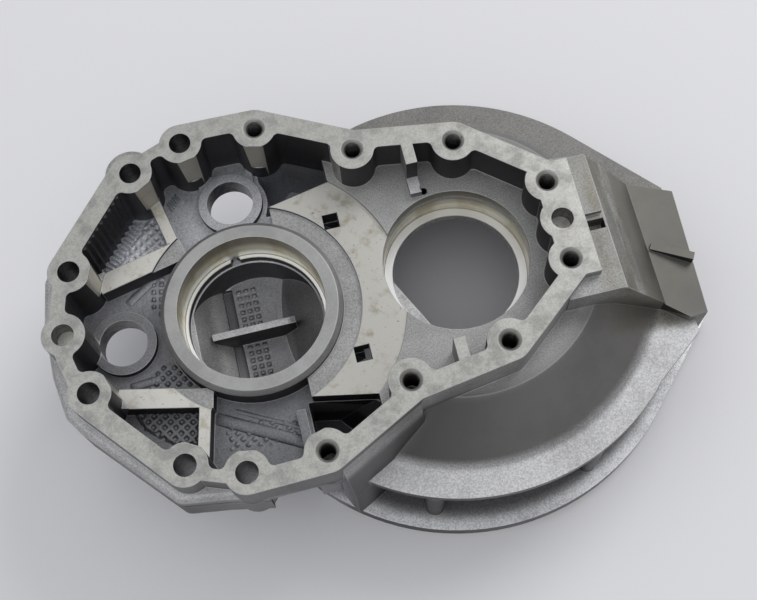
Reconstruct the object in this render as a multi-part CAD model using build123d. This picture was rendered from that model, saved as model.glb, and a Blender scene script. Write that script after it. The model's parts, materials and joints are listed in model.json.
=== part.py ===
# Gearbox housing, one die casting: a gear tray with a gasket flange, two bearing seats and a bell.
# Built with the input axis at x = y = 0 and the bell rim at z = 0, then moved to the middle of its box.
import os
from math import cos, radians, sin

from build123d import *

# Depths below the gasket face
web_depth = 18.0
floor_depth = 29.0
block_depth = 34.0
ledge_depth = 35.0
chamber_depth = 59.0
pocket_depth = 60.0

# Levels above the bell rim
flange_z = 86.0
web_z = flange_z - web_depth
ring_z = web_z + 1.0
turned_z = web_z - 1.6
annulus_z = turned_z - 1.4
floor_z = flange_z - floor_depth
tray_bottom_z = floor_z - 7.0
step_z = flange_z - 12.0
flange_low_z = web_z
port_z = floor_z + 3.5
pocket_floor_z = flange_z - pocket_depth
ledge_z = flange_z - ledge_depth

# How far a cut runs past a face, and how far an added piece sinks into the next one
over = 5.0
bite = 1.0

# Shaft axes
centre_distance = 88.0
output = (-centre_distance, 0.0)

# Bearing seats, both for the same bearing
seat_r = 31.0
output_seat_depth = 19.0
input_seat_depth = 18.0
snap_depth = 4.6
snap_width = 1.7
snap_r = seat_r + 1.0
output_open_r = 29.2
input_open_r = 27.2
collar = 4.0

# Gasket flange: fixing holes lie on two circles, one round each axis, and mirror across the shaft plane
tray_bolt_r = 73.5
clear_angles = (101.0, 120.0, 159.0)
tray_tap_angle = 76.0
bell_bolt_r = 46.0
bell_tap_angles = (22.5, 78.0)
waist = (-32.2, 51.6)
tray_dowel_r = 75.0
bell_dowel_r = 44.0
boss_r = 8.8
inner_boss_r = boss_r + 0.4
boss_foot = 4.0
nick_r = 5.2
shallow_nick_r = 6.2
end_x = 53.2
end_half = 25.8
end_wall_x = 37.6
corner_r = 2.4

# Holes
clear_r = 4.5
tap_r = 3.4
tap_chamfer = 1.3
tap_depth = 20.0
dowel_r = 4.5
dowel_depth = 9.0
vent_r = 1.5
vent = (-6.0, 33.4)

# Tray body below the flange lip: its wall, and half of the outline of its lower step, mirrored
tray_wall = 3.4
rim_half = ((-172.6, 12.0), (-169.8, 30.0), (-164.6, 38.0), (-131.5, 75.0), (-114.0, 77.5), (-96.5, 81.0))
rim_corner = 5.0
rim_round = 3.0
seam_z = tray_bottom_z + 14.0
seam_height = 2.2
seam_depth = 1.6

# Boss round the output bore, and the turned clearance cut round it
ring_r = 38.3
ring_round = 2.0
annulus_r = 46.0
turned_r = 64.9
cup_r = 39.0

# Chamber below the output bore
chamber_r = 28.4
chamber_floor_z = flange_z - chamber_depth
cup_bottom_z = chamber_floor_z - 8.0
chamber_ramp = (-101.5, -117.5)
channel_half = 25.4
channel = (-101.8, -97.4, 3.0)
chamber_rib = (-109.0, -72.0, 3.2, 14.0)
open_nick = (97.0, 2.0)

# Web between the bores, its square windows and the deep pockets beside it
web_edge = ((-72.0, 43.2), (-45.0, 48.6))
window = 6.6
window_place = (-47.5, 30.3)
pocket_x = -74.0
pocket_wall = 3.2

# Ribs across the tray
arm = ((-149.0, 25.4), (-111.0, 33.8))
arm_width = 8.6
spoke = ((-113.4, 30.0), (-119.6, 58.0))
spoke_width = 5.0
rib_cast_z = turned_z + 1.2
post_rib = (-77.5, 4.0, 4.0)

# Ports through the tray floor, and the raised pad beside the upper one
port_r = 10.0
port_boss_r = 14.0
ports = ((-centre_distance, 52.0), (-143.8, 0.0))
port_pad = (-100.0, -76.0, 67.0, 2.0)

# Stub ribs beside the input bore
stub_x = -9.6
stub_width = 5.0
stub_tip = 39.0
stub_root = 50.5
stub_step_tip = 31.6
stub_step_z = web_z + 4.0

# Flutes on the tray wall
flute_count = 9
flute_width = 1.8
flute_from = 0.24
flute_to = 0.76
flute_stop = 0.8

# Bell, a wall turned round the input axis
roof_r = 60.0
roof_thickness = 8.0
roof_low = web_z - roof_thickness
bell_top_r = 66.0
bell_foot_r = 83.0
bell_wall = 5.0
rim_r = 104.0
rim_end_x = 110.5
rim_turn = 42.5
rim_height = 9.0
hub_r = 37.5
waist_low = (bell_foot_r - bell_wall, chamber_floor_z)
waist_high = (58.6, chamber_floor_z + 20.0)

# Dome and ledge on the side away from the tray
dome_from = -128.5
dome_to = -18.0
dome_foot_r = 87.0
ledge_width = 11.0
ledge_r = dome_foot_r + ledge_width
ledge_thickness = 4.5
ledge_corner = (93.0, -50.6)
ledge_tangent = -62.0
skirt_r = dome_foot_r + 3.0
dome_round = 5.0
post_r = 4.2
post_ring_r = skirt_r + 3.6
post_angles = (-109.5, -66.0)

# Drafted flank below the flange, between the tray and the dome
flank_foot = 5.0
flank_top_z = flange_z - 5.0
flank_length = 40.0

# Side block on the bell
block_outline = ((38.0, -33.5), (60.0, -33.5), (80.0, -37.0), (90.0, -45.0), (98.0, -44.0),
                 (100.6, 13.0), (84.0, 18.6), (62.0, 27.0), (38.0, 30.0))
block_high_z = flange_z - 4.5
block_mid_z = flange_z - 28.0
block_low_z = flange_z - block_depth
block_slope = (62.0, 81.0)
pad = (53.0, 61.0, 0.0, 26.5)
pad_z = flange_z - 2.0
slot = (53.4, 61.0, -6.4, -2.2)
slot_z = flange_z - 12.0
side_rib = ((82.5, -11.0), (99.0, -20.0))
side_rib_width = 3.4
side_rib_z = block_mid_z + 1.0
core = (85.0, 95.0, -37.0, 9.0)
core_z = block_low_z - 8.0

# Scar of the trimmed gate, a hump round one flange boss
gate_r = boss_r + 1.9
gate_height = 7.0

# Lip left in the input opening
lip_angle = 206.0
lip_chord = 22.8
lip_thickness = 3.0


def polar(radius, angle, centre=(0.0, 0.0)):
    return (centre[0] + radius * cos(radians(angle)), centre[1] + radius * sin(radians(angle)))


def mirror_y(point):
    return (point[0], -point[1])


def pair(point):
    return [point, mirror_y(point)]


def plate(points):
    return make_face(Polyline(*points, close=True))


def prism(face, low, high):
    return extrude(Pos(0, 0, low) * face, high - low, dir=(0, 0, 1))


def along(start, end, z=0.0):
    a, b = Vector(*start), Vector(*end)
    return Plane(origin=((a.X + b.X) / 2, (a.Y + b.Y) / 2, z), x_dir=b - a, z_dir=(0, 0, 1)), (b - a).length


def span(start, end, width):
    plane, length = along(start, end)
    return plane * SlotCenterToCenter(length, width)


def bar(start, end, width, low, high):
    plane, length = along(start, end, (low + high) / 2)
    return plane * Box(length, width, high - low)


def block(x0, x1, y0, y1, z0, z1):
    return Pos((x0 + x1) / 2, (y0 + y1) / 2, (z0 + z1) / 2) * Box(x1 - x0, y1 - y0, z1 - z0)


def disc(point, radius):
    return Pos(point[0], point[1]) * Circle(radius)


def drum(point, radius, low, high):
    return Pos(point[0], point[1], (low + high) / 2) * Cylinder(radius, high - low)


def frustum(point, low_r, high_r, low, high):
    return Pos(point[0], point[1], (low + high) / 2) * Cone(low_r, high_r, high - low)


def lathe(points, centre=(0.0, 0.0)):
    return Pos(centre[0], centre[1]) * revolve(Plane.XZ * plate(points), Axis.Z)


# Hole places, listed round the flange from the dowel by the input bore
bell_dowel = (bell_dowel_r, 0.0)
tray_dowel = (output[0] - tray_dowel_r, 0.0)
bell_taps = [polar(bell_bolt_r, a) for a in bell_tap_angles]
tray_tap = polar(tray_bolt_r, tray_tap_angle, output)
clears = [polar(tray_bolt_r, a, output) for a in clear_angles]
upper = bell_taps + [waist, tray_tap] + clears
loop = [bell_dowel] + upper + [tray_dowel] + [mirror_y(p) for p in reversed(upper)]
count = len(loop)
nicks = {loop.index(clears[0]): nick_r, loop.index(clears[-1]): shallow_nick_r}


def outline(reach):
    face = plate(loop)
    for i, p in enumerate(loop):
        half_width = nicks.get(min(i, count - 1 - i), boss_r)
        face += span(p, loop[(i + 1) % count], 2 * min(half_width, reach))
        face += disc(p, reach)
    return face


flange_face = outline(boss_r) + Pos((end_x + end_wall_x) / 2, 0) * Rectangle(end_x - end_wall_x, 2 * end_half)
inner_face = plate(loop)
for p in loop:
    inner_face -= disc(p, inner_boss_r)
inner_face -= Pos(end_wall_x + end_half, 0) * Rectangle(2 * end_half, 2 * end_half)
inner_face = fillet([v for v in inner_face.vertices() if v.X <= end_wall_x - boss_r], corner_r)
left_side = Pos(waist[0] - 2 * tray_dowel_r, 0) * Rectangle(4 * tray_dowel_r, 4 * tray_dowel_r)
wall_face = outline(tray_wall) & left_side
rim_polygon = plate(list(rim_half) + [mirror_y(p) for p in reversed(rim_half)])
rim_polygon = fillet([v for v in rim_polygon.vertices() if v.X < rim_half[-1][0] - bite], rim_corner)

# Bell wall and roof, its squared rim, the hollow, and the part of the wall that closes the chamber
bell = lathe([(0, 0), (bell_foot_r, 0), (bell_foot_r, rim_height), (bell_top_r, roof_low),
              (roof_r, web_z), (0, web_z)])
rim_end_y = (rim_r - rim_end_x * cos(radians(rim_turn))) / sin(radians(rim_turn))
rim_end = [polar(rim_r, rim_turn), (rim_end_x, rim_end_y)]
rim_face = disc((0, 0), rim_r) + plate([(0, 0)] + rim_end + [mirror_y(p) for p in reversed(rim_end)])
rim = prism(rim_face, 0, rim_height)
mouth_r = waist_low[0] - bell_wall
neck_r = waist_high[0] - bell_wall
bell_inside = lathe([(0, -over), (mouth_r, -over), (mouth_r, waist_low[1]), (neck_r, waist_high[1]),
                     (neck_r, roof_low), (0, roof_low)])
chamber_side = lathe([(0, waist_low[1] - over), (waist_low[0] + over, waist_low[1] - over),
                      waist_low, waist_high, (waist_high[0], roof_low), (0, roof_low)])

# Dome, ledge and the skirt set back below it
ledge_low = ledge_z - ledge_thickness
dome_face = plate([(roof_r - over, web_z), (roof_r, web_z), (dome_foot_r, ledge_z), (ledge_r, ledge_z),
                   (ledge_r, ledge_low), (skirt_r, ledge_low), (skirt_r, rim_height - bite),
                   (mouth_r, rim_height - bite), (roof_r - over, roof_low)])
corner = dome_face.vertices().sort_by_distance(Vertex(dome_foot_r, ledge_z, 0))[0]
dome_face = fillet([corner], dome_round)
dome = Rot(0, 0, dome_from) * revolve(Plane.XZ * dome_face, Axis.Z, dome_to - dome_from)
block_side = block_outline[0][1]
ledge_points = [polar(ledge_r, ledge_tangent), ledge_corner, (ledge_corner[0], block_side),
                (roof_r, block_side)]
dome += prism(plate(ledge_points), ledge_low, ledge_z)
for angle in post_angles:
    dome += drum(polar(post_ring_r, angle), post_r, rim_height - bite, ledge_z - bite)

# Tray body: flange lip, rounded step below it, a seam groove and a flat underside
rim_top = prism(rim_polygon, seam_z + seam_height, step_z)
rim_top = fillet(rim_top.edges().group_by(Axis.Z)[-1], rim_round)
seam = prism(offset(rim_polygon, -seam_depth), seam_z - bite, seam_z + seam_height + bite)
body = prism(flange_face, flange_low_z, flange_z) + rim_top + seam + prism(rim_polygon, tray_bottom_z, seam_z)
body += prism(wall_face, tray_bottom_z, flange_low_z + bite)
gate_high_z = flange_z - bite
body += drum(clears[1], gate_r, gate_high_z - gate_height, gate_high_z)
for p in clears[0], waist, tray_tap:
    low = tray_bottom_z if p in clears else flange_z - tap_depth - boss_foot
    for q in pair(p):
        body += drum(q, boss_r, low, flange_z)

# Pocket boxes hang below the tray on both sides of the bell
pocket_length = waist[0] - pocket_x + 2 * pocket_wall
pocket_band = Pos((pocket_x + waist[0]) / 2, 0) * Rectangle(pocket_length, 4 * tray_dowel_r)
box_face = (outline(pocket_wall) & pocket_band) - disc(output, annulus_r - pocket_wall)
body += prism(box_face, pocket_floor_z - pocket_wall, tray_bottom_z + bite)
body += bell + rim + dome
body += drum(output, cup_r, cup_bottom_z, floor_z)

# Flank, a drafted wall along the flange on the dome side
low_tap, low_waist = mirror_y(tray_tap), mirror_y(waist)
run = (Vector(*low_waist) - Vector(*low_tap)).normalized()
out = run.cross(Vector(0, 0, 1))
flank_start = Vector(*low_tap) + out * boss_r
flank_plane = Plane(origin=flank_start, x_dir=out, z_dir=run)
flank_sign = flank_plane.y_dir.Z
flank_low = rim_height - bite
flank_points = [(-over, flank_top_z), (0, flank_top_z), (flank_foot, ledge_low), (flank_foot, flank_low),
                (-over, flank_low)]
flank_face = plate([(u, flank_sign * v) for u, v in flank_points])
body += extrude(flank_plane * flank_face, flank_length)

# Side block, cut to its stepped and sloped top
block_prism = prism(plate(block_outline), 0, flange_z)
top_points = [(block_outline[0][0], 0), (block_outline[0][0], block_high_z), (block_slope[0], block_high_z),
              (block_slope[1], block_mid_z), (rim_end_x, block_low_z), (rim_end_x, 0)]
side_block = block_prism & extrude(Plane.XZ * plate(top_points), rim_r, both=True)
side_block += block(*pad, roof_low, pad_z)
side_block += bar(*side_rib, side_rib_width, block_low_z - over, side_rib_z)
side_block -= block(*slot, slot_z, flange_z)
body += side_block

# Hollow tray and deep pockets
body -= prism(inner_face, floor_z, flange_z + over)
far_y = tray_bolt_r + over
pocket_face = plate([(pocket_x, web_edge[0][1]), web_edge[0], web_edge[1], (web_edge[1][0], far_y),
                     (pocket_x, far_y)])
port_keep = disc(ports[0], port_boss_r + 2 * bite)
for side in (pocket_face, mirror(pocket_face, Plane.XZ)):
    pocket = prism((inner_face & side) - port_keep, pocket_floor_z, flange_z + over)
    body -= pocket - bell

# Web between the bores, and the ribs, rings and bosses that stand in the tray
web_points = [web_edge[0], web_edge[1], (web_edge[1][0], tray_bolt_r), (end_x, tray_bolt_r)]
web_points += [mirror_y(p) for p in reversed(web_points)]
body += prism(plate(web_points) & inner_face, roof_low - 2 * bite, web_z)
for flip in (lambda p: p, mirror_y):
    body += bar(flip(arm[0]), flip(arm[1]), arm_width, floor_z - bite, rib_cast_z)
    body += bar(flip(spoke[0]), flip(spoke[1]), spoke_width, floor_z - bite, rib_cast_z)
for p in bell_taps:
    body += drum(mirror_y(p), boss_r, web_z - bite, flange_z)
for p in ports:
    body += drum(p, port_boss_r, tray_bottom_z, port_z)
body += block(port_pad[0], port_pad[1], ports[0][1], port_pad[2], floor_z - bite, floor_z + port_pad[3])
x, width, rise = post_rib
body += block(x - width / 2, x + width / 2, boss_r - tray_bolt_r, -annulus_r, floor_z - bite, floor_z + rise)

# Flutes along the tray wall
low_end, high_end = Vector(*clears[-1]), Vector(*clears[-2])
flute_top = flange_z - flute_stop
flute_turn = (high_end - low_end).get_angle(Vector(1, 0, 0)) + 45.0
flute = Box(flute_width, flute_width, flute_top - floor_z + bite)
for i in range(flute_count):
    t = flute_from + (flute_to - flute_from) * i / (flute_count - 1)
    place = low_end + (high_end - low_end) * t
    body += Pos(place.X, place.Y, (floor_z - bite + flute_top) / 2) * Rot(0, 0, flute_turn) * flute

# Turned cuts round the output axis
body -= drum(output, turned_r, turned_z, flange_z + over) - drum(output, annulus_r, 0, flange_z + 2 * over)
body -= drum(output, annulus_r, annulus_z, flange_z + over)
body += lathe([(0, floor_z - 3 * bite), (ring_r, floor_z - 3 * bite), (ring_r, ring_z - ring_round),
               (ring_r - ring_round, ring_z), (0, ring_z)], centre=output)

# Stub ribs beside the input bore
stub_low, stub_high = stub_x - stub_width / 2, stub_x + stub_width / 2
body += block(stub_low, stub_high, stub_tip, stub_root, web_z - bite, flange_z)
body += block(stub_low, stub_high, -stub_root, -stub_tip, web_z - bite, flange_z)
body += block(stub_low, stub_high, stub_step_tip, stub_tip + bite, web_z - bite, stub_step_z)

# Bell inside, with the hub of the input bore
input_seat_z = web_z - input_seat_depth
hub_low = input_seat_z - collar
body -= bell_inside
body += drum((0, 0), hub_r, hub_low, roof_low + bite)
body -= block(*core, -over, core_z)

# Output bore and chamber
output_seat_z = ring_z - output_seat_depth
chamber_top = output_seat_z - collar
body -= drum(output, seat_r, output_seat_z, ring_z + over)
body -= drum(output, output_open_r, chamber_top, output_seat_z + bite)
body -= drum(polar(output_open_r, open_nick[0], output), open_nick[1], chamber_top, output_seat_z + bite)
chamber = drum(output, chamber_r, chamber_floor_z, chamber_top + bite)
ramp_foot, ramp_top = chamber_ramp
ramp_points = [(ramp_foot, chamber_floor_z), (ramp_top, output_seat_z), (2 * ramp_top, output_seat_z),
               (2 * ramp_top, chamber_floor_z)]
chamber -= extrude(Plane.XZ * plate(ramp_points), chamber_r + over, both=True)
channel_low = chamber_floor_z - channel[2]
chamber += block(channel[0], channel[1], -channel_half, channel_half, channel_low, chamber_floor_z + bite)
chamber -= chamber_side
rib_half = chamber_rib[2] / 2
rib_top = chamber_floor_z + chamber_rib[3]
chamber -= block(chamber_rib[0], chamber_rib[1], -rib_half, rib_half, chamber_floor_z, rib_top)
body -= chamber

# Input bore
groove_high = web_z - snap_depth
groove_low = groove_high - snap_width
body -= drum((0, 0), seat_r, input_seat_z, web_z + over)
body -= drum((0, 0), snap_r, groove_low, groove_high)
opening = disc((0, 0), input_open_r)
lip = Rot(0, 0, lip_angle) * Pos(lip_chord + input_open_r, 0) * Rectangle(2 * input_open_r, 2 * input_open_r)
body -= prism(opening, hub_low + lip_thickness, input_seat_z + bite)
body -= prism(opening - lip, hub_low - over, hub_low + lip_thickness + bite)

# Windows, ports, fixing holes and the small vent
for x, y in pair(window_place):
    body -= block(x - window / 2, x + window / 2, y - window / 2, y + window / 2, rim_height, flange_z)
for p in ports:
    body -= drum(p, port_r, tray_bottom_z - over, port_z + over)
for p in [q for c in clears for q in pair(c)]:
    body -= drum(p, clear_r, tray_bottom_z - over, flange_z + over)
for p in [q for c in bell_taps + [waist, tray_tap] for q in pair(c)]:
    body -= drum(p, tap_r, flange_z - tap_depth, flange_z + over)
    body -= frustum(p, tap_r, tap_r + 2 * tap_chamfer, flange_z - tap_chamfer, flange_z + tap_chamfer)
for p in (bell_dowel, tray_dowel):
    body -= drum(p, dowel_r, flange_z - dowel_depth, flange_z + over)
body -= drum(vent, vent_r, roof_low - bite, web_z + over)

box = body.bounding_box()
housing = Pos(-box.center().X, -box.center().Y, -box.min.Z) * body
housing.label = "housing"
os.makedirs("parts", exist_ok=True)
export_step(housing, "parts/housing.step")
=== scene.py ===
# %% [markdown]
# A gearbox housing, one aluminium die casting: a gear tray with a gasket flange, two bearing seats and a
# bell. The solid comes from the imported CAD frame. This lesson rounds its edges and gives each kind of
# surface its finish. It adds the threads, and the waffle marks and swells that the casting tool leaves.
# Last come the light and the camera.

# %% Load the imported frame
import json
import math
from types import SimpleNamespace

import bmesh
import bpy
import numpy as np
from mathutils import Matrix, Vector
from mathutils.geometry import delaunay_2d_cdt


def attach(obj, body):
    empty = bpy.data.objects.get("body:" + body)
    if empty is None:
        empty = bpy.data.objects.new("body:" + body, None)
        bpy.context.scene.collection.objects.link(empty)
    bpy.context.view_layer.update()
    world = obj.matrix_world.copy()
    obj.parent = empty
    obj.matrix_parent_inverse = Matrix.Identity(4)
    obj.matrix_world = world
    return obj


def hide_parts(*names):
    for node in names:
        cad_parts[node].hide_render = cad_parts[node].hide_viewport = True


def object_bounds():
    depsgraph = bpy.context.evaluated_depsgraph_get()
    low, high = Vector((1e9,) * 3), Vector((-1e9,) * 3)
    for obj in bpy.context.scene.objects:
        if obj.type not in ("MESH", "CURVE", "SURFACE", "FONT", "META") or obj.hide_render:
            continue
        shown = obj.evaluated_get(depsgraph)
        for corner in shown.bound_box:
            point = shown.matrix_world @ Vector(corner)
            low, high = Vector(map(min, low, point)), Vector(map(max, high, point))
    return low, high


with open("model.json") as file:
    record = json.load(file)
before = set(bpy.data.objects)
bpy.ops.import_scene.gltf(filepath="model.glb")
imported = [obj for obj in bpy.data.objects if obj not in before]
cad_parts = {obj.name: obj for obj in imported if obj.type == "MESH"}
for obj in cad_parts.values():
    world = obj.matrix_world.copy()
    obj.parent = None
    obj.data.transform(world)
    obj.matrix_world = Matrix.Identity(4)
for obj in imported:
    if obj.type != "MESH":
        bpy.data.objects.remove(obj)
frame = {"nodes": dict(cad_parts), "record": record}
housing = frame["nodes"]["housing"]
cad_low, cad_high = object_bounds()
BODY, SLOT, MM = "root", "cast_aluminium", 0.001
print("CAD box in mm:", [round(v / MM, 1) for v in (*cad_low, *cad_high)])

# %% [markdown]
# The record says where the seats, ports and holes are, so the finishes can be placed without measuring the
# mesh. The values in the next cell are in millimetres. A seat's place is its middle, so its ends are half
# its length away.

# %% Places and levels from the record
mounts = {m["name"]: m for m in frame["record"]["mounts"]}


def place(name):
    return np.array(mounts[name]["pos_m"]) / MM


def top_of(name):
    return place(name)[2] + mounts[name]["dims"]["length_mm"] / 2


OUTPUT, INPUT = place("output_bearing_seat"), place("input_bearing_seat")
FLANGE_Z = place("gasket_face")[2]
RING_Z, WEB_Z = top_of("output_bearing_seat"), top_of("input_bearing_seat")
SEAT_R = mounts["output_bearing_seat"]["dims"]["r_mm"]
SEAT_LOW = RING_Z - mounts["output_bearing_seat"]["dims"]["length_mm"]
PORTS = [place("upper_port"), place("end_port")]
TAP_NAMES = [n for n in mounts if "_tap_" in n]
TAPS = [place(n) for n in TAP_NAMES]
DOWELS = [place("bell_dowel"), place("tray_dowel")]
CLEARS = []
for name in ("tray_side_bolts", "tray_corner_bolts", "tray_end_bolts"):
    half = mounts[name]["dims"]["spacing_y_mm"] / 2
    CLEARS += [place(name) + (0, half, 0), place(name) - (0, half, 0)]
TURNED_Z, TURNED_R = WEB_Z - 1.6, 64.9
FLOOR_Z, LEDGE_Z, CHAMBER_Z = FLANGE_Z - 29, FLANGE_Z - 35, FLANGE_Z - 59
BOSS_R, RING_R, PORT_BOSS_R, FLUTE_STOP = 8.8, 38.3, 14.0, 0.8
print("taps", len(TAPS), "dowels", len(DOWELS), "plain holes", len(CLEARS))

# %% [markdown]
# Sharp edges give a render away, because a casting's edges are rounded and a cut edge is broken with a
# file. A Bevel modifier would do it on a clean mesh, but the frame is loose triangles. So a copy is merged,
# and every edge sharper than a set angle is rounded in the copy, apart from those of the fluted wall.
# Before that, each face learns which finish it has, from its level, its direction and its distance to an
# axis.

# %% Finish of each face
CAST, MILLED_FACE, TURNED_FACE, SEAT, HOLE = range(5)
SAME_LEVEL, HOLE_EDGE, BLIND_DEPTH, CHAMFER_DEPTH = 0.05, 3.0, 22.0, 12.0
# Limits on the upward share of a face's normal
LEVEL_TURN, WALL_TURN, SHADE_TURN = 0.99, 0.2, 0.3
# Shares of painted shade for the wall above the step and for the channel in the chamber floor
STEP_DEPTH, STEP_SHADE, CHANNEL_SHADE, TRAY_FROM = 12.0, 0.6, 0.9, 70.0


def distance(points, axis):
    """Distance in the plane from an axis that runs along z: the length of the x and y differences."""
    return np.hypot(points[:, 0] - axis[0], points[:, 1] - axis[1])


def finish_index(centre, normal):
    """Number of the finish of each face, from arrays of face middles in mm and face normals."""
    z, flat, wall = centre[:, 2], normal[:, 2] > LEVEL_TURN, np.abs(normal[:, 2]) < WALL_TURN
    to_out, to_in = distance(centre, OUTPUT), distance(centre, INPUT)
    found = np.zeros(len(centre), int)
    found[flat & (np.abs(z - FLANGE_Z) < SAME_LEVEL)] = MILLED_FACE
    found[flat & (np.abs(z - TURNED_Z) < SAME_LEVEL) & (to_out < TURNED_R)] = TURNED_FACE
    found[wall & (np.abs(to_out - TURNED_R) < 0.3) & (z > TURNED_Z)] = TURNED_FACE
    for to_axis in (to_out, to_in):
        found[wall & (np.abs(to_axis - SEAT_R) < 1.2) & (z > SEAT_LOW) & (z < RING_Z)] = SEAT
        found[flat & (to_axis < SEAT_R + 0.1) & (np.abs(z - SEAT_LOW) < SAME_LEVEL)] = SEAT
    high, blind, sunk = z > LEDGE_Z - 2, z > FLANGE_Z - BLIND_DEPTH, z < FLANGE_Z - SAME_LEVEL
    for hole, reach in [(h, blind) for h in TAPS + DOWELS] + [(h, high) for h in CLEARS]:
        near = (distance(centre, hole) < BOSS_R - HOLE_EDGE) & reach
        found[near & sunk] = HOLE
        found[near & sunk & ~wall & (z > FLANGE_Z - CHAMFER_DEPTH)] = TURNED_FACE
    for port in PORTS:
        found[(distance(centre, port) < PORT_BOSS_R - HOLE_EDGE) & wall & high] = HOLE
    return found


def painted_shade_share(centre, normal):
    """How far a face is darkened with painted shade, from 0 to 1. Fully: an upright wall that looks into the
    tray, a pocket or the chamber, and the tops of the flutes. Partly: the wall above the step of the tray,
    and the channel in the chamber floor."""
    z, to_out, to_in = centre[:, 2], distance(centre, OUTPUT), distance(centre, INPUT)
    axis = np.where((to_out < to_in)[:, None], OUTPUT[:2], INPUT[:2])
    inward = np.sum((axis - centre[:, :2]) * normal[:, :2], 1) > 0
    ring = (to_out < TURNED_R) & (to_out > SEAT_R + 1)
    upright = np.abs(normal[:, 2]) < SHADE_TURN
    share = np.zeros(len(centre))
    share[upright & (z > FLANGE_Z - STEP_DEPTH) & (to_in > TRAY_FROM)] = STEP_SHADE
    share[upright & (inward | ring) & (z > SEAT_LOW + 3) & (to_in > SEAT_R + 3)] = 1
    chamber = (to_out < SEAT_R) & (z > CHAMBER_Z - 4) & (normal[:, 2] > -SHADE_TURN)
    share[chamber & upright & (z < SEAT_LOW)] = 1
    share[chamber & (z < CHAMBER_Z - 0.5)] = CHANNEL_SHADE
    share[np.abs(z - FLANGE_Z + FLUTE_STOP) < SAME_LEVEL] = 1
    return share


# %% [markdown]
# Rounding pulls the border of a flat region inwards, and a sliver of its old triangulation that is thinner
# than that folds over and ends up with its back outwards. So each flat region gets a number before the
# rounding, and a region with a folded face is filled anew from its outline afterwards.

# %% Flat regions
FLAT_BEND, FLAT_STEP = math.cos(math.radians(0.3)), 2e-6
PLAIN_FILL, FILL_MERGE = 0, 1e-5


def number_flats(shape, layer, kind):
    """Number the flat regions in a face layer, from 1 up, and return their directions. A region grows over
    each edge behind which the face has the same direction, level and kind."""
    directions = [None]
    for first in shape.faces:
        if first[layer]:
            continue
        first[layer], front = len(directions), [first]
        directions.append(first.normal.copy())
        level = first.calc_center_median().dot(first.normal)
        while front:
            for face in [f for e in front.pop().edges for f in e.link_faces]:
                step = abs(face.calc_center_median().dot(first.normal) - level)
                if (not face[layer] and face.normal.dot(first.normal) > FLAT_BEND and step < FLAT_STEP
                        and kind(face) == kind(first)):
                    face[layer] = first[layer]
                    front.append(face)
    return directions


def inside_outline(spots, starts, ends):
    """True for each spot inside an outline of line pieces: a ray to the right crosses it an odd number of
    times."""
    x, y = spots[:, :1], spots[:, 1:]
    crossed = (starts[:, 1] > y) != (ends[:, 1] > y)
    rise = np.where(starts[:, 1] == ends[:, 1], 1.0, ends[:, 1] - starts[:, 1])
    reach = starts[:, 0] + (ends[:, 0] - starts[:, 0]) * (y - starts[:, 1]) / rise
    return (crossed & (x < reach)).sum(1) % 2 == 1


def fill_anew(shape, faces, direction):
    """Replace the faces of a flat region by a fresh triangulation of its outline. Return the new faces."""
    across = direction.orthogonal().normalized()
    along = direction.cross(across)
    region = set(faces)
    edges = dict.fromkeys(e for f in faces for e in f.edges)
    outline = [e for e in edges if sum(f in region for f in e.link_faces) == 1]
    corners = list(dict.fromkeys(v for e in outline for v in e.verts))
    number = {v: i for i, v in enumerate(corners)}
    flat = [(v.co.dot(across) / MM, v.co.dot(along) / MM) for v in corners]
    pairs = [[number[v] for v in e.verts] for e in outline]
    spots, _, triangles, source, _, _ = delaunay_2d_cdt(flat, pairs, [], PLAIN_FILL, FILL_MERGE)
    spots = np.array([tuple(p) for p in spots])
    triangles = np.array([list(t) for t in triangles])
    ends = np.array(flat)[np.array(pairs)]
    triangles = triangles[inside_outline(spots[triangles].mean(1), ends[:, 0], ends[:, 1])]
    level = direction * corners[0].co.dot(direction)
    verts = [corners[known[0]] if known else shape.verts.new((across * x + along * y) * MM + level)
             for known, (x, y) in zip(source, spots.tolist())]
    bmesh.ops.delete(shape, geom=faces, context="FACES_ONLY")
    return [shape.faces.new([verts[k] for k in three]) for three in triangles]


# %% Merge a copy and round its edges
WELD, SHARP_ANGLE = 2e-6, math.radians(28)
EDGE_ROUND, SMOOTH_ANGLE = 0.3 * MM, math.radians(32)
FLUTE_REACH, FOLDED = 2.5, 0.5

shape = bmesh.new()
shape.from_mesh(housing.data)
bmesh.ops.remove_doubles(shape, verts=shape.verts, dist=WELD)
middles = np.array([f.calc_center_median() for f in shape.faces]) / MM
normals = np.array([f.normal for f in shape.faces])
# Each face keeps its share of painted shade in a layer, which darkens its tone in the cast skin
painted_shade_layer = shape.faces.layers.float.new("hollow")
for face, index, share in zip(shape.faces, finish_index(middles, normals), painted_shade_share(middles, normals)):
    face.material_index = int(index)
    face[painted_shade_layer] = share
corner_hole, end_hole = CLEARS[2], CLEARS[4]
flute_length = np.linalg.norm((corner_hole - end_hole)[:2])
flute_run = (corner_hole - end_hole)[:2] / flute_length


def on_flutes(edge):
    """True for an edge at the fluted wall, which lies on the line between two flange holes."""
    middle = np.array((edge.verts[0].co + edge.verts[1].co) / 2)[:2] / MM - end_hole[:2]
    along, away = middle @ flute_run, middle[1] * flute_run[0] - middle[0] * flute_run[1]
    return abs(away) < FLUTE_REACH and BOSS_R < along < flute_length - BOSS_R


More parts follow.
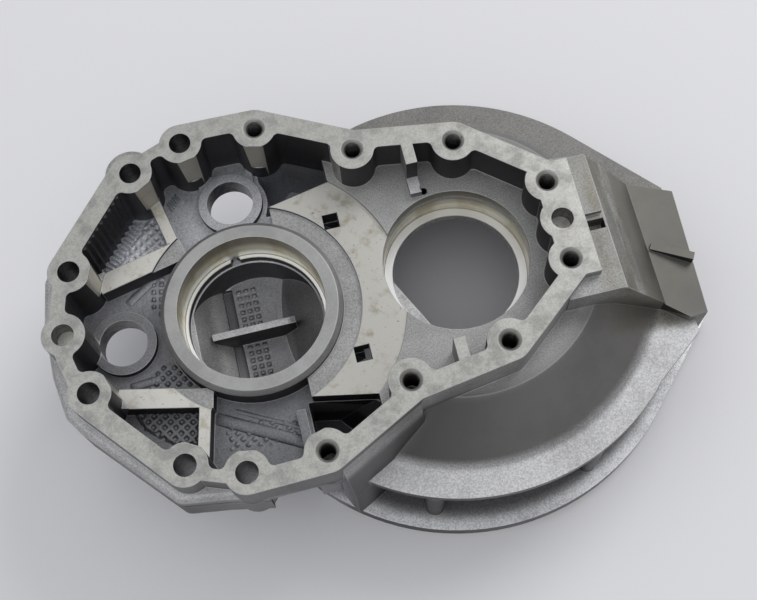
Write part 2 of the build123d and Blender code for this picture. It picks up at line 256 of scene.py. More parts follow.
sharp = [e for e in shape.edges
         if len(e.link_faces) == 2 and e.calc_face_angle() > SHARP_ANGLE and not on_flutes(e)]
# Faces of the rounded edges are marked; their tone is made paler, partly for wear and partly as a painted
# highlight
worn_and_glint_layer = shape.faces.layers.float.new("worn_edge")
flat_layer = shape.faces.layers.int.new("flat_region")
directions = number_flats(shape, flat_layer, lambda f: (f.material_index, f[painted_shade_layer]))
rounded = bmesh.ops.bevel(shape, geom=sharp, offset=EDGE_ROUND, offset_type="OFFSET", segments=2,
                          profile=0.5, affect="EDGES", clamp_overlap=False, loop_slide=True)
for face in rounded["faces"]:
    face[worn_and_glint_layer] = 1.0
bmesh.ops.triangulate(shape, faces=[f for f in shape.faces if len(f.verts) > 4])
shape.normal_update()
regions = {}
for face in shape.faces:
    if not face[worn_and_glint_layer]:
        regions.setdefault(face[flat_layer], []).append(face)
folded = [n for n, faces in regions.items() if any(f.normal.dot(directions[n]) < FOLDED for f in faces)]
for n in folded:
    index, share = regions[n][0].material_index, regions[n][0][painted_shade_layer]
    for face in fill_anew(shape, regions[n], directions[n]):
        face.material_index, face[painted_shade_layer] = index, share
bmesh.ops.delete(shape, geom=[e for e in shape.edges if not e.link_faces], context="EDGES")
shape.faces.layers.int.remove(flat_layer)
casting_mesh = bpy.data.meshes.new("casting")
shape.to_mesh(casting_mesh)
shape.free()
if "custom_normal" in casting_mesh.attributes:
    casting_mesh.attributes.remove(casting_mesh.attributes["custom_normal"])
casting_mesh.polygons.foreach_set("use_smooth", np.ones(len(casting_mesh.polygons), bool))
casting_mesh.set_sharp_from_angle(angle=SMOOTH_ANGLE)
casting = bpy.data.objects.new("casting", casting_mesh)
bpy.context.scene.collection.objects.link(casting)
evener = casting.modifiers.new("large faces stay flat", "WEIGHTED_NORMAL")
evener.keep_sharp = True
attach(casting, BODY)
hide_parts("housing")
print("rounded", len(sharp), "edges and filled", len(folded), "regions anew")
print("casting has", len(casting_mesh.polygons), "faces")

# %% [markdown]
# Every finish is a node tree. Most helpers here add one node and return its output, so a tree below reads
# like a formula. A helper takes either a number or the output of another node.


# %% Node helpers
def feed(tree, socket, source):
    if isinstance(source, bpy.types.NodeSocket):
        tree.links.new(source, socket)
    else:
        socket.default_value = source


def maths(tree, operation, *terms):
    made = tree.nodes.new("ShaderNodeMath")
    made.operation = operation
    for socket, term in zip(made.inputs, terms):
        feed(tree, socket, term)
    return made.outputs[0]


def all_of(tree, *shares):
    """Product of shares between 0 and 1, so it is 1 only where all of them are."""
    result = shares[0]
    for share in shares[1:]:
        result = maths(tree, "MULTIPLY", result, share)
    return result


def between(tree, share, low, high):
    """A value that is low where the share is 0 and high where it is 1."""
    return maths(tree, "ADD", low, maths(tree, "MULTIPLY", share, high - low))


def fade(tree, source, low, high):
    """0 below low, 1 above high, and a smooth step between; with low above high it runs the other way."""
    made = tree.nodes.new("ShaderNodeMapRange")
    made.interpolation_type = "SMOOTHSTEP"
    feed(tree, made.inputs[0], source)
    made.inputs[1].default_value, made.inputs[2].default_value = (low, high) if low < high else (high, low)
    made.inputs[3].default_value, made.inputs[4].default_value = (0, 1) if low < high else (1, 0)
    return made.outputs[0]


def mix(tree, share, first, second, kind="MIX"):
    made = tree.nodes.new("ShaderNodeMix")
    made.data_type, made.blend_type = "RGBA", kind
    for socket, source in zip((made.inputs[0], made.inputs[6], made.inputs[7]), (share, first, second)):
        feed(tree, socket, source)
    return made.outputs[2]


def shade(tree, tone, share, low, high):
    """The tone made darker or lighter: multiplied by low where the share is 0 and by high where it is 1."""
    made = tree.nodes.new("ShaderNodeVectorMath")
    made.operation = "SCALE"
    feed(tree, made.inputs[0], tone)
    tree.links.new(between(tree, share, low, high), made.inputs["Scale"])
    return made.outputs[0]


def blotches(tree, where, scale, detail=3.0, roughness=0.55):
    made = tree.nodes.new("ShaderNodeTexNoise")
    tree.links.new(where, made.inputs["Vector"])
    made.inputs["Scale"].default_value = scale
    made.inputs["Detail"].default_value = detail
    made.inputs["Roughness"].default_value = roughness
    return made.outputs["Fac"]


def start_finish(name):
    """A new material, its tree and its shader, and the place on the part in mm: as a vector, and as its
    three coordinates."""
    material = bpy.data.materials.new(name)
    material.use_nodes = True
    tree = material.node_tree
    shader = tree.nodes["Principled BSDF"]
    spot = tree.nodes.new("ShaderNodeTexCoord").outputs["Object"]
    scaled = tree.nodes.new("ShaderNodeVectorMath")
    scaled.operation = "SCALE"
    tree.links.new(spot, scaled.inputs[0])
    scaled.inputs["Scale"].default_value = 1 / MM
    split = tree.nodes.new("ShaderNodeSeparateXYZ")
    tree.links.new(scaled.outputs[0], split.inputs[0])
    return material, tree, shader, scaled.outputs[0], split.outputs


def from_axis(tree, x, y, axis):
    """Distance from an upright axis: the square root of the summed squares of the differences."""
    across = maths(tree, "POWER", maths(tree, "SUBTRACT", x, float(axis[0])), 2.0)
    along = maths(tree, "POWER", maths(tree, "SUBTRACT", y, float(axis[1])), 2.0)
    return maths(tree, "SQRT", maths(tree, "ADD", across, along))


def stretched(tree, where, factors):
    """The place with each coordinate multiplied by its factor; a small one draws a pattern out that way."""
    made = tree.nodes.new("ShaderNodeVectorMath")
    made.operation = "MULTIPLY"
    tree.links.new(where, made.inputs[0])
    made.inputs[1].default_value = factors
    return made.outputs[0]


def facing_up(tree):
    split = tree.nodes.new("ShaderNodeSeparateXYZ")
    tree.links.new(tree.nodes.new("ShaderNodeTexCoord").outputs["Normal"], split.inputs[0])
    return split.outputs[2]


def marked(tree, layer):
    """The value that a face layer of the casting holds; pieces without that layer give 0."""
    made = tree.nodes.new("ShaderNodeAttribute")
    made.attribute_name = layer
    return made.outputs["Fac"]


def end_finish(tree, shader, tone, metallic, roughness, height, depth):
    """Give the shader its tone, how metallic and how rough it is, and a bump: the height times the depth,
    which is in mm."""
    for name, source in (("Base Color", tone), ("Metallic", metallic), ("Roughness", roughness)):
        feed(tree, shader.inputs[name], source)
    made = tree.nodes.new("ShaderNodeBump")
    made.inputs["Strength"].default_value = 1.0
    made.inputs["Distance"].default_value = depth * MM
    tree.links.new(height, made.inputs["Height"])
    tree.links.new(made.outputs[0], shader.inputs["Normal"])


# %% [markdown]
# The cast skin is what the molten metal takes from the steel tool: fine grain, cloudy patches where the
# metal cooled unevenly, a bluer tone inside the tray and olive streaks on the side block. The tree also
# paints light and shade into the tone: painted shade on walls that look into hollows, under the ledge, on
# the dome and near the viewer, and painted light on the tops of the step, the ledge and the lower rim, on
# the chamber floor and, with wear, along rounded edges. One tree does it all, built by one function for
# each region, with the level and the distance from an axis choosing between the tones. Bare metal has no
# colour of its own below the surface, so the shader is metallic: walls then mirror the dark floor beside
# them and level faces mirror the sky.

# %% Cast skin
INSIDE, WEB_TONE, RING_TONE = (0.40, 0.405, 0.425, 1), (0.41, 0.41, 0.405, 1), (0.45, 0.45, 0.445, 1)
# On the next line the dome tone is darkened as painted shade, the far bell tone is lighter as painted light,
# and the pale tone is painted light where it lies on top faces
DOME, FAR_BELL, PALE = (0.21, 0.205, 0.20, 1), (0.26, 0.256, 0.245, 1), (0.60, 0.60, 0.605, 1)
# The last tone on the next line is painted light, for the top of the lower rim and the chamber
OLIVE, BLOCK_FOOT, PAINTED_LIGHT = (0.30, 0.29, 0.245, 1), (0.18, 0.175, 0.16, 1), (0.97, 0.98, 1.0, 1)
# The second tone on the next line is painted shade, for walls that look into hollows and under the ledge
DARK_SPOT, PAINTED_SHADE = (0.14, 0.138, 0.135, 1), (0.04, 0.04, 0.047, 1)
# Each zone is the pair of places, in mm, between which it fades in
FAR_FLOOR, FAR_CORNER, LEFT_CORNER = (10.0, 30.0), (22.0, 42.0), (-22.0, -38.0)
TRAY_OUTSIDE, TRAY_PASSED, BELL_FROM = (70.0, 74.0), (70.0, 90.0), (54.0, 62.0)
DOME_TO_RIGHT, DOME_TO_FAR, NEAR_SIDE = (-45.0, 35.0), (-20.0, 40.0), (10.0, -40.0)
UNDER_LEDGE, RIM_EDGE, OPENING = (101.0, 94.0), (97.0, 102.0), (29.6, 29.0)
BLOCK_FROM, BLOCK_SIDE = (50.0, 58.0), (-48.0, -42.0)
CHAMBER_SIDE, PAD_FROM = (14.5, 12.0), (-12.0, -9.0)


def tray_tone(tree, at):
    """Tone of the tray: darker near the viewer as painted shade, lighter in the far left corner as painted
    light, paler on the ring, and a painted highlight on the top of the step.
    """
    # Painted shade near the viewer and painted light in the far left corner
    tone = shade(tree, INSIDE[:3], fade(tree, at.y, *FAR_FLOOR), 0.6, 1.3)
    corner = all_of(tree, fade(tree, at.y, *FAR_CORNER), fade(tree, at.past_out, *LEFT_CORNER))
    tone = shade(tree, tone, corner, 1.0, 1.5)
    tone = mix(tree, fade(tree, at.to_out, *TRAY_OUTSIDE), tone, INSIDE)
    tone = mix(tree, fade(tree, at.z, WEB_Z - 8, WEB_Z - 3), tone, WEB_TONE)
    tone = mix(tree, at.on_ring, tone, RING_TONE)
    # A painted highlight on the top faces of the step
    step = all_of(tree, fade(tree, at.z, FLANGE_Z - 16.5, FLANGE_Z - 15.5),
                  fade(tree, at.z, FLANGE_Z - 10, FLANGE_Z - 11), fade(tree, at.facing, 0.05, 0.3))
    return mix(tree, step, tone, PALE)


def bell_tone(tree, at, tone):
    """The tone with the bell added: a dome in painted shade that is darker on the left and lighter on the
    far side, a pale ledge top and a bright top of the lower rim as painted light, and a painted shadow under
    the ledge."""
    # Painted shade on the dome, darker on the left, and painted light on its far side
    dome = shade(tree, DOME[:3], fade(tree, at.past_in, *DOME_TO_RIGHT), 0.62, 1.2)
    dome = mix(tree, fade(tree, at.y, *DOME_TO_FAR), dome, FAR_BELL)
    tone = mix(tree, at.on_bell, tone, dome)
    near = fade(tree, at.y, *NEAR_SIDE)
    # Painted light: the top faces of the ledge on the near side are pale
    ledge = all_of(tree, fade(tree, at.z, LEDGE_Z + 3, LEDGE_Z + 0.5), near, at.up, at.on_bell)
    tone = mix(tree, ledge, tone, PALE)
    low = all_of(tree, fade(tree, at.z, LEDGE_Z - 8, LEDGE_Z - 12), near)
    # A painted shadow under the ledge, then painted light on the top of the lower rim
    tone = mix(tree, all_of(tree, low, fade(tree, at.to_in, *UNDER_LEDGE), 0.75), tone, PAINTED_SHADE)
    return mix(tree, all_of(tree, low, fade(tree, at.to_in, *RIM_EDGE), at.up, 0.9), tone, PAINTED_LIGHT)


def block_tone(tree, at, tone):
    """The tone with the side block added: olive streaks, and a dark foot."""
    on_block = all_of(tree, fade(tree, at.past_in, *BLOCK_FROM), fade(tree, at.z, LEDGE_Z - 6, LEDGE_Z - 1),
                      fade(tree, at.y, *BLOCK_SIDE))
    streak = blotches(tree, stretched(tree, at.where, (1.0, 0.25, 1.0)), 0.14, 5.0, 0.65)
    olive = between(tree, fade(tree, streak, 0.40, 0.62), 0.4, 1.0)
    tone = mix(tree, all_of(tree, on_block, olive), tone, OLIVE)
    foot = all_of(tree, on_block, fade(tree, at.z, LEDGE_Z + 16, LEDGE_Z + 5), 0.8)
    return mix(tree, foot, tone, BLOCK_FOOT)


def chamber_tone(tree, at, tone):
    """The tone with the chamber added, with painted light that is brightest on the floor left of the pad,
    and the pale lip below the input seat."""
    floor_share = between(tree, fade(tree, at.past_out, *PAD_FROM), 0.6, -0.25)
    low = all_of(tree, fade(tree, at.z, CHAMBER_Z + 12, CHAMBER_Z + 5), floor_share)
    low = all_of(tree, maths(tree, "ADD", 0.4, low), fade(tree, at.z, CHAMBER_Z - 6, CHAMBER_Z - 4))
    inside = all_of(tree, fade(tree, at.to_out, *OPENING), fade(tree, at.z, SEAT_LOW - 1, SEAT_LOW - 3),
                    fade(tree, at.past_out, *CHAMBER_SIDE), low)
    # Painted light in the chamber, strongest on its floor left of the pad
    tone = mix(tree, inside, tone, PAINTED_LIGHT)
    lip = all_of(tree, fade(tree, at.to_in, *OPENING), fade(tree, at.z, SEAT_LOW + 0.6, SEAT_LOW))
    return mix(tree, lip, tone, PALE)


def cast_skin():
    material, tree, shader, where, (x, y, z) = start_finish("cast_skin")
    at = SimpleNamespace(where=where, y=y, z=z, facing=facing_up(tree))
    at.up = fade(tree, at.facing, 0.55, 0.95)
    at.to_in, at.to_out = from_axis(tree, x, y, INPUT), from_axis(tree, x, y, OUTPUT)
    at.past_in, at.past_out = (maths(tree, "SUBTRACT", x, float(axis[0])) for axis in (INPUT, OUTPUT))
    at.on_ring = all_of(tree, fade(tree, at.to_out, RING_R + 2, RING_R + 0.5),
                        fade(tree, z, WEB_Z - 4, WEB_Z - 1))
    at.on_bell = all_of(tree, fade(tree, at.to_in, *BELL_FROM), fade(tree, z, WEB_Z + 6, WEB_Z - 2),
                        fade(tree, at.to_out, *TRAY_PASSED))
    tone = bell_tone(tree, at, tray_tone(tree, at))
    tone = chamber_tone(tree, at, block_tone(tree, at, tone))
    cloud = fade(tree, blotches(tree, where, 0.05, 5.0, 0.62), 0.40, 0.68)
    tone = mix(tree, all_of(tree, cloud, 0.25), tone, DARK_SPOT)
    grain = blotches(tree, where, 1.5, 4.0, 0.7)
    smooth_bell = all_of(tree, at.on_bell, fade(tree, z, LEDGE_Z + 1, LEDGE_Z + 4), 0.8)
    smooth = maths(tree, "ADD", smooth_bell, all_of(tree, at.on_ring, 0.7))
    tone = mix(tree, smooth, shade(tree, tone, fade(tree, grain, 0.3, 0.7), 0.72, 1.28), tone)
    # Painted shade on the faces that the layer marks
    tone = mix(tree, all_of(tree, marked(tree, "hollow"), 0.86), tone, PAINTED_SHADE)
    # Rounded edges are paler, partly from wear and partly as a painted highlight, less so on the bell
    worn_and_glint = all_of(tree, marked(tree, "worn_edge"), between(tree, at.on_bell, 0.45, 0.15))
    tone = mix(tree, worn_and_glint, tone, PALE)
    end_finish(tree, shader, tone, 1.0, between(tree, grain, 0.48, 0.72), grain, 0.09)
    return material


# %% [markdown]
# The flange is milled flat: a soft grey with fine darker mottling, a few specks, and bright edges where the
# cutter broke out, made brighter still with a painted highlight. The turned step is paler and warmer, with
# arcs round the output axis and old oil stains; the stain tone on its upright walls is a painted warm
# reflection.

# %% Milled flange and turned step
MILLED, MILLED_DARK, BRIGHT = (0.46, 0.455, 0.43, 1), (0.31, 0.31, 0.295, 1), (0.85, 0.85, 0.84, 1)
# The stain tone on the next line also paints a warm reflection on upright walls
TURNED, STAIN_AND_REFLECTION, RING_PITCH = (0.57, 0.56, 0.52, 1), (0.42, 0.39, 0.32, 1), 0.5


def milled_flange():
    material, tree, shader, where, _ = start_finish("milled_flange")
    cloud = fade(tree, blotches(tree, where, 0.13, 5.0, 0.65), 0.42, 0.66)
    tone = mix(tree, all_of(tree, cloud, 0.7), MILLED, MILLED_DARK)
    speck = blotches(tree, where, 1.4, 4.0, 0.7)
    tone = shade(tree, tone, fade(tree, speck, 0.30, 0.70), 0.86, 1.14)
    tone = mix(tree, all_of(tree, fade(tree, speck, 0.30, 0.24), 0.7), tone, DARK_SPOT)
    # Rounded edges are brighter, partly from wear and partly as a painted highlight
    tone = mix(tree, all_of(tree, marked(tree, "worn_edge"), 0.5), tone, BRIGHT)
    end_finish(tree, shader, tone, 1.0, between(tree, cloud, 0.40, 0.54), speck, 0.05)
    return material


def turned_step():
    material, tree, shader, where, (x, y, _) = start_finish("turned_step")
    cloud = blotches(tree, where, 0.16, 4.0, 0.65)
    tone = mix(tree, fade(tree, cloud, 0.50, 0.72), TURNED, STAIN_AND_REFLECTION)
    tone = shade(tree, tone, fade(tree, x, float(OUTPUT[0]) - 40.0, float(OUTPUT[0]) + 40.0), 1.12, 0.87)
    speck = blotches(tree, where, 0.8, 3.0, 0.6)
    tone = mix(tree, all_of(tree, fade(tree, speck, 0.36, 0.28), 0.8), tone, DARK_SPOT)
    wall = maths(tree, "SUBTRACT", 1.0, fade(tree, facing_up(tree), 0.3, 0.8))
    # Painted reflection: upright walls take the warm stain tone
    tone = mix(tree, all_of(tree, wall, 0.7), tone, STAIN_AND_REFLECTION)
    # Rounded edges are brighter, partly from wear and partly as a painted highlight
    tone = mix(tree, all_of(tree, marked(tree, "worn_edge"), 0.8), tone, BRIGHT)
    turns = maths(tree, "MULTIPLY", from_axis(tree, x, y, OUTPUT), math.tau / RING_PITCH)
    rings = maths(tree, "SINE", turns)
    end_finish(tree, shader, tone, between(tree, wall, 0.95, 0.40), between(tree, cloud, 0.34, 0.50),
               maths(tree, "ADD", rings, speck), 0.008)
    return material


# %% [markdown]
# A bored seat is bright, with fine lines round it from the boring tool and a little gold where old oil
# dried. It also carries painted light and shade: the output seat lighter than the input seat, and painted
# shade on the far wall near the mouth. A drilled hole is plain and dark, its tone darkened as painted shade.

# %% Bored seats and drilled holes
# On the next line the last tone, and the mouth tone below it, are painted shade: inside drilled holes and on
# a seat's far wall near its mouth
SEAT_TONE, GOLD, HOLE_TONE = (0.84, 0.79, 0.63, 1), (0.52, 0.45, 0.27, 1), (0.24, 0.24, 0.235, 1)
MOUTH = (0.20, 0.18, 0.12, 1)


def bored_seat():
    material, tree, shader, where, (x, y, z) = start_finish("bored_seat")
    stripe = blotches(tree, stretched(tree, where, (0.02, 0.02, 1.6)), 1.0, 3.0, 0.7)
    patch = blotches(tree, stretched(tree, where, (1.0, 1.0, 0.4)), 0.08, 3.0, 0.5)
    tone = mix(tree, fade(tree, patch, 0.40, 0.64), SEAT_TONE, GOLD)
    tone = mix(tree, all_of(tree, fade(tree, stripe, 0.50, 0.62), 0.6), tone, BRIGHT)
    tone = mix(tree, all_of(tree, fade(tree, stripe, 0.47, 0.38), 0.7), tone, GOLD)
    # Painted shade on the far wall near the mouth, then painted light on the output seat and painted shade
    # on the input seat
    mouth = all_of(tree, fade(tree, z, SEAT_LOW + 7, SEAT_LOW + 14), fade(tree, y, 0.0, 24.0), 0.75)
    tone = mix(tree, mouth, tone, MOUTH)
    tone = shade(tree, tone, fade(tree, x, float(OUTPUT[0]) + SEAT_R, float(INPUT[0]) - SEAT_R), 1.4, 0.78)
    tone = mix(tree, fade(tree, facing_up(tree), 0.4, 0.8), tone, BRIGHT)
    # Rounded edges are brighter, partly from wear and partly as a painted highlight
    tone = mix(tree, all_of(tree, marked(tree, "worn_edge"), 0.8), tone, BRIGHT)
    end_finish(tree, shader, tone, 0.8, 0.34, stripe, 0.12)
    return material


def drilled_hole():
    material, tree, shader, where, _ = start_finish("drilled_hole")
    patch = blotches(tree, where, 0.5, 3.0, 0.6)
    tone = mix(tree, fade(tree, patch, 0.4, 0.65), HOLE_TONE, DARK_SPOT)
    # Rounded edges are brighter, partly from wear and partly as a painted highlight
    tone = mix(tree, all_of(tree, marked(tree, "worn_edge"), 0.8), tone, BRIGHT)
    end_finish(tree, shader, tone, 1.0, 0.4, patch, 0.04)
    return material


finishes = [cast_skin(), milled_flange(), turned_step(), bored_seat(), drilled_hole()]
for material in finishes:
    casting_mesh.materials.append(material)
print("finishes:", [m.name for m in finishes])

# %% [markdown]
# Surfaces that are too fine for the solid are made here as grids: a function gives a place for each pair of
# parameters, numpy works the whole grid out at once, and the four neighbours of each cell make a face.


# %% Grid helper
def grid_piece(name, points, material, keep=None):
    """A mesh from an array of points with shape (rows, columns, 3) in mm. Where keep is false, the face is
    dropped."""
    rows, columns = points.shape[:2]
    number = np.arange(rows * columns).reshape(rows, columns)
    corners = (number[:-1, :-1], number[:-1, 1:], number[1:, 1:], number[1:, :-1])
    quads = np.stack(corners, -1).reshape(-1, 4)
    if keep is not None:
        quads = quads[keep.reshape(-1)]
    used, quads = np.unique(quads, return_inverse=True)
    vertices = points.reshape(-1, 3)[used] * MM
    mesh = bpy.data.meshes.new(name)
    mesh.from_pydata(vertices, [], quads.reshape(-1, 4))
    mesh.polygons.foreach_set("use_smooth", np.ones(len(mesh.polygons), bool))
    mesh.materials.append(material)
    piece = bpy.data.objects.new(name, mesh)
    bpy.context.scene.collection.objects.link(piece)
    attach(piece, BODY)
    return piece


# %% [markdown]
# Threads: on the real part a tap cuts them. Modelled in the solid they would cost thousands of faces, so
# they are a helix here. The first parameter runs along the helix, and the second across the V of one turn.

# %% Threads in the tapped holes
PITCH, THREAD_DEPTH, THREAD_GAP = 1.25, 0.5, 0.12
TURN_STEPS, V_STEPS, FIRST_TURN = 30, 5, 0.6


def thread_points(hole):
    """Helix of V ridges: angle grows along u, height falls by one pitch a turn, and the radius dips by the
    depth in the middle of the V."""
    dims = mounts[hole]["dims"]
    turns = int(dims["length_mm"] / PITCH) - 1
    angle = np.linspace(0, math.tau * turns, turns * TURN_STEPS + 1)[:, None]
    across = np.linspace(-0.5, 0.5, V_STEPS)[None, :]
    radius = dims["r_mm"] + THREAD_GAP - (THREAD_DEPTH + THREAD_GAP) * (1 - np.abs(2 * across)) + 0 * angle
    centre = place(hole)
    height = top_of(hole) - PITCH * (angle / math.tau + FIRST_TURN + across)
    return np.stack([centre[0] + radius * np.cos(angle), centre[1] + radius * np.sin(angle), height], -1)


for hole in TAP_NAMES:
    grid_piece(hole.replace("_tap_", "_thread_"), thread_points(hole), finishes[HOLE])
print("threads in", len(TAPS), "holes")

# %% [markdown]
# Waffle marks: parts of the tray floor and of the chamber floor carry a net, left by a tool insert. The
# height is a net of lines, raised or sunk, above the floor. It fades out at the border of its polygon, where
# the sheet dives under the floor. Places are in mm from the output axis.

# %% Waffle patches
NET_PITCH, NET_LINE, NET_FADE, NET_TURN = 3.3, 0.17, 1.6, 31.0
GRID_STEP, NET_SUNK, NET_CLEAR = 0.3, 0.06, 0.1


def ridge(along):
    """1 on the lines of the net and 0 between them: a smooth step on the distance to the nearest line."""
    away = np.abs((along / NET_PITCH) % 1.0 - 0.5)
    share = np.clip((NET_LINE * 2 - away) / NET_LINE, 0, 1)
    return share * share * (3 - 2 * share)


def inside_by(x, y, corners):
    """How far each place lies inside a convex polygon with corners in counterclockwise order: the smallest
    of the signed distances to its sides."""
    depth = np.full(x.shape, np.inf)
    for (ax, ay), (bx, by) in zip(corners, corners[1:] + corners[:1]):
        length = math.hypot(bx - ax, by - ay)
        depth = np.minimum(depth, ((bx - ax) * (y - ay) - (by - ay) * (x - ax)) / length)
    return depth


def waffle(name, corners, level, turn, height):
    """Net over a convex polygon: the level plus the higher of two fields of lines turned by an angle. A
    negative height gives raised squares with grooves between them."""
    corner_x, corner_y = np.array(corners).T
    x, y = np.meshgrid(np.arange(corner_x.min(), corner_x.max(), GRID_STEP),
                       np.arange(corner_y.min(), corner_y.max(), GRID_STEP), indexing="ij")
    c, s = math.cos(math.radians(turn)), math.sin(math.radians(turn))
    net = np.maximum(ridge(c * x + s * y), ridge(c * y - s * x))
    depth = inside_by(x, y, corners)
    lift = np.clip(depth / NET_FADE, 0, 1)
    rise = level - NET_SUNK + lift * (NET_CLEAR + max(0, -height) + height * net)
    middle = (depth[:-1, :-1] + depth[1:, 1:]) / 2
    points = np.stack([x + OUTPUT[0], y + OUTPUT[1], rise], -1)
    return grid_piece(name, points, finishes[CAST], middle > 0)


waffle("waffle_corner", [(-58.5, -26.6), (-54.5, -38.2), (-41.5, -49.5), (-33.0, -50.5), (-28.6, -32.6)],
       FLOOR_Z, NET_TURN, 0.9)
waffle("waffle_ring", [(-54.0, -20.6), (-29.5, -25.5), (-36.5, -12.0), (-42.0, -12.0)],
       FLOOR_Z, NET_TURN, -0.9)
waffle("waffle_side", [(-43.0, 14.0), (-38.0, 4.0), (-34.0, 16.0), (-33.0, 27.0), (-41.0, 26.0)],
       FLOOR_Z, -10.0, -0.9)
waffle("waffle_high", [(-57.0, 33.0), (-31.5, 39.5), (-28.5, 52.5), (-34.5, 57.0)],
       FLOOR_Z, NET_TURN, 0.45)
waffle("waffle_low", [(-22.0, -55.5), (10.0, -58.0), (9.0, -47.0), (-8.0, -44.0), (-22.0, -40.0)],
       FLOOR_Z, NET_TURN, -0.45)
waffle("waffle_pad_far", [(-9.0, 2.2), (2.5, 2.2), (2.5, 25.0), (-9.0, 25.0)], CHAMBER_Z, 0.0, -0.9)
waffle("waffle_pad_near", [(-9.0, -25.0), (2.5, -25.0), (2.5, -2.2), (-9.0, -2.2)], CHAMBER_Z, 0.0, -0.9)
print("waffle patches made")

# %% [markdown]
# Swells: the tool also left low half-round bars on the floor, such as the comb of short ones at the foot of
# the flutes. The first parameter runs along the bar, and the second goes over it from side to side.

# %% Swells on the tray floor
SWELL_ALONG, SWELL_OVER, SWELL_SUNK, END_POWER = 14, 9, 0.1, 6


def swell(name, start, end, width, height):
    """Half-round bar on the floor: across, a half turn of cosine and sine; along, the height is even and
    falls to nothing close to both ends."""
    along = np.linspace(-1, 1, SWELL_ALONG)[:, None]
    angle = np.linspace(0, math.pi, SWELL_OVER)[None, :]
    run = np.array(end) - np.array(start)
    side = np.array([-run[1], run[0]]) / np.hypot(*run)
    across = np.cos(angle) * width / 2
    share = np.sqrt(np.clip(1 - along ** END_POWER, 0, 1))
    x = OUTPUT[0] + start[0] + run[0] * (along + 1) / 2 + side[0] * across
    y = OUTPUT[1] + start[1] + run[1] * (along + 1) / 2 + side[1] * across
    rise = FLOOR_Z - SWELL_SUNK + height * share * np.sin(angle)
    return grid_piece(name, np.stack([x, y, rise], -1), finishes[CAST])


def swell_row(name, count, start, run, bar, width, height):
    """Row of equal bars, spread evenly from the start along the run."""
    for step in range(count):
        foot = np.array(start) + np.array(run) * step / (count - 1)
        swell(f"{name}_{step}", tuple(foot), tuple(foot + bar), width, height)


swell("swell_low", (-25.0, -40.0), (13.0, -61.0), 5.5, 1.0)
swell("swell_low_side", (-17.0, -38.5), (12.5, -54.5), 2.0, 0.5)
swell("swell_end_far", (-52.0, 17.5), (-37.5, 27.5), 4.0, 0.8)
swell("swell_end_near", (-57.0, -19.0), (-43.0, -18.0), 4.0, 0.8)
swell_row("comb", 14, (-60.6, 34.4), (17.6, 19.8), (3.4, -2.9), 1.2, 1.5)
swell_row("wrinkle", 5, (-27.2, 60.0), (4.0, 3.6), (2.0, -4.2), 1.1, 1.1)
print("swells made")

# %% [markdown]
# The stage: a pale floor that fills the picture, one large soft lamp behind the part on its right, which
# leaves the walls that face the viewer in shade, and a sky that is bright overhead and dark low down.

# %% Floor, light and sky
FLOOR_TONE, FLOOR_CLOUD, FLOOR_SIZE = (0.87, 0.87, 0.89, 1), (0.78, 0.78, 0.80, 1), 4.0
KEY_PLACE, KEY_SIZE, KEY_POWER = Vector((1.44, 1.2, 1.68)), 1.44, 20.5
SKY_TOWARDS, SKY_DARK, SKY_BRIGHT = Vector((-0.2, -0.08, 0.97)), (0.2, 0.2, 0.206, 1), (0.98, 0.99, 1.01, 1)
SKY_FROM, SKY_TO = 0.3, 1.05


def floor_material():
    material = bpy.data.materials.new("pale_floor")
    material.use_nodes = True
    tree = material.node_tree
    shader = tree.nodes["Principled BSDF"]
    where = tree.nodes.new("ShaderNodeTexCoord").outputs["Object"]
    cloud = blotches(tree, where, 3.0, 2.0)
    tone = mix(tree, all_of(tree, cloud, 0.06), FLOOR_TONE, FLOOR_CLOUD)
    tree.links.new(tone, shader.inputs["Base Color"])
    shader.inputs["Roughness"].default_value = 0.7
    return material


def soft_lamp(name, where, size, power):
    lamp = bpy.data.lights.new(name, "AREA")
    lamp.shape, lamp.size, lamp.energy = "DISK", size, power
    holder = bpy.data.objects.new(name, lamp)
    holder.location = where
    holder.rotation_mode = "QUATERNION"
    holder.rotation_quaternion = (-where).to_track_quat("-Z", "Y")
    bpy.context.scene.collection.objects.link(holder)


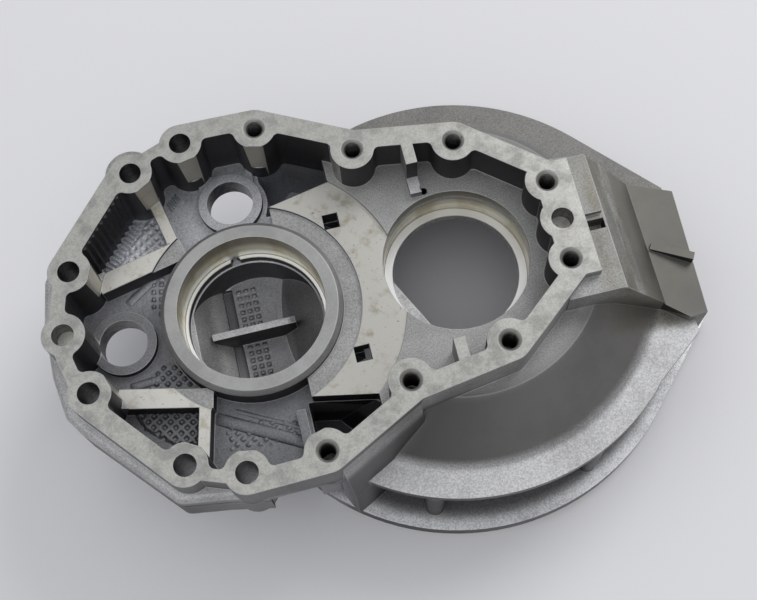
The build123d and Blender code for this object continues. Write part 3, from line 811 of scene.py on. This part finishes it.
def soft_sky():
    """Sky that is bright overhead, a little to the left, and dark low down: the share of a direction that
    points the bright way, taken through a smooth step."""
    made = bpy.data.worlds.new("sky")
    made.use_nodes = True
    tree = made.node_tree
    share = tree.nodes.new("ShaderNodeVectorMath")
    share.operation = "DOT_PRODUCT"
    tree.links.new(tree.nodes.new("ShaderNodeTexCoord").outputs["Generated"], share.inputs[0])
    share.inputs[1].default_value = SKY_TOWARDS.normalized()
    glow = fade(tree, share.outputs["Value"], SKY_FROM, SKY_TO)
    tree.links.new(mix(tree, glow, SKY_DARK, SKY_BRIGHT), tree.nodes["Background"].inputs["Color"])
    return made


floor_mesh = bpy.data.meshes.new("floor")
floor_half = FLOOR_SIZE / 2
floor_corners = [(x * floor_half, y * floor_half, 0) for x, y in ((-1, -1), (1, -1), (1, 1), (-1, 1))]
floor_mesh.from_pydata(floor_corners, [], [(0, 1, 2, 3)])
floor_mesh.materials.append(floor_material())
floor = bpy.data.objects.new("floor", floor_mesh)
floor.location.z = cad_low.z
bpy.context.scene.collection.objects.link(floor)
soft_lamp("key", KEY_PLACE, KEY_SIZE, KEY_POWER)
bpy.context.scene.world = soft_sky()
bpy.context.scene.view_settings.view_transform = "Standard"
print("floor, lamp and sky")

# %% [markdown]
# The camera stands where the photograph was taken from. Its place, turn and lens were found by fitting the
# flange holes and the seats' circles to the picture.

# %% Camera
IMAGE_WIDTH, FOCAL_PIXELS, SENSOR = 757, 1260.5, 36.0
CAMERA_PLACE = Vector((-29.01, -183.87, 560.77)) * MM
CAMERA_SWING, CAMERA_TILT, CAMERA_ROLL = (math.radians(a) for a in (-7.86, 19.61, -5.86))

lens = bpy.data.cameras.new("camera")
lens.sensor_width, lens.lens = SENSOR, FOCAL_PIXELS / IMAGE_WIDTH * SENSOR
camera = bpy.data.objects.new("camera", lens)
turn = Matrix.Rotation(CAMERA_SWING, 4, "Z") @ Matrix.Rotation(CAMERA_TILT, 4, "X") @ Matrix.Rotation(
    CAMERA_ROLL, 4, "Z")
camera.matrix_world = Matrix.Translation(CAMERA_PLACE) @ turn
bpy.context.scene.collection.objects.link(camera)
bpy.context.scene.camera = camera
print("lens", round(lens.lens, 2), "mm")
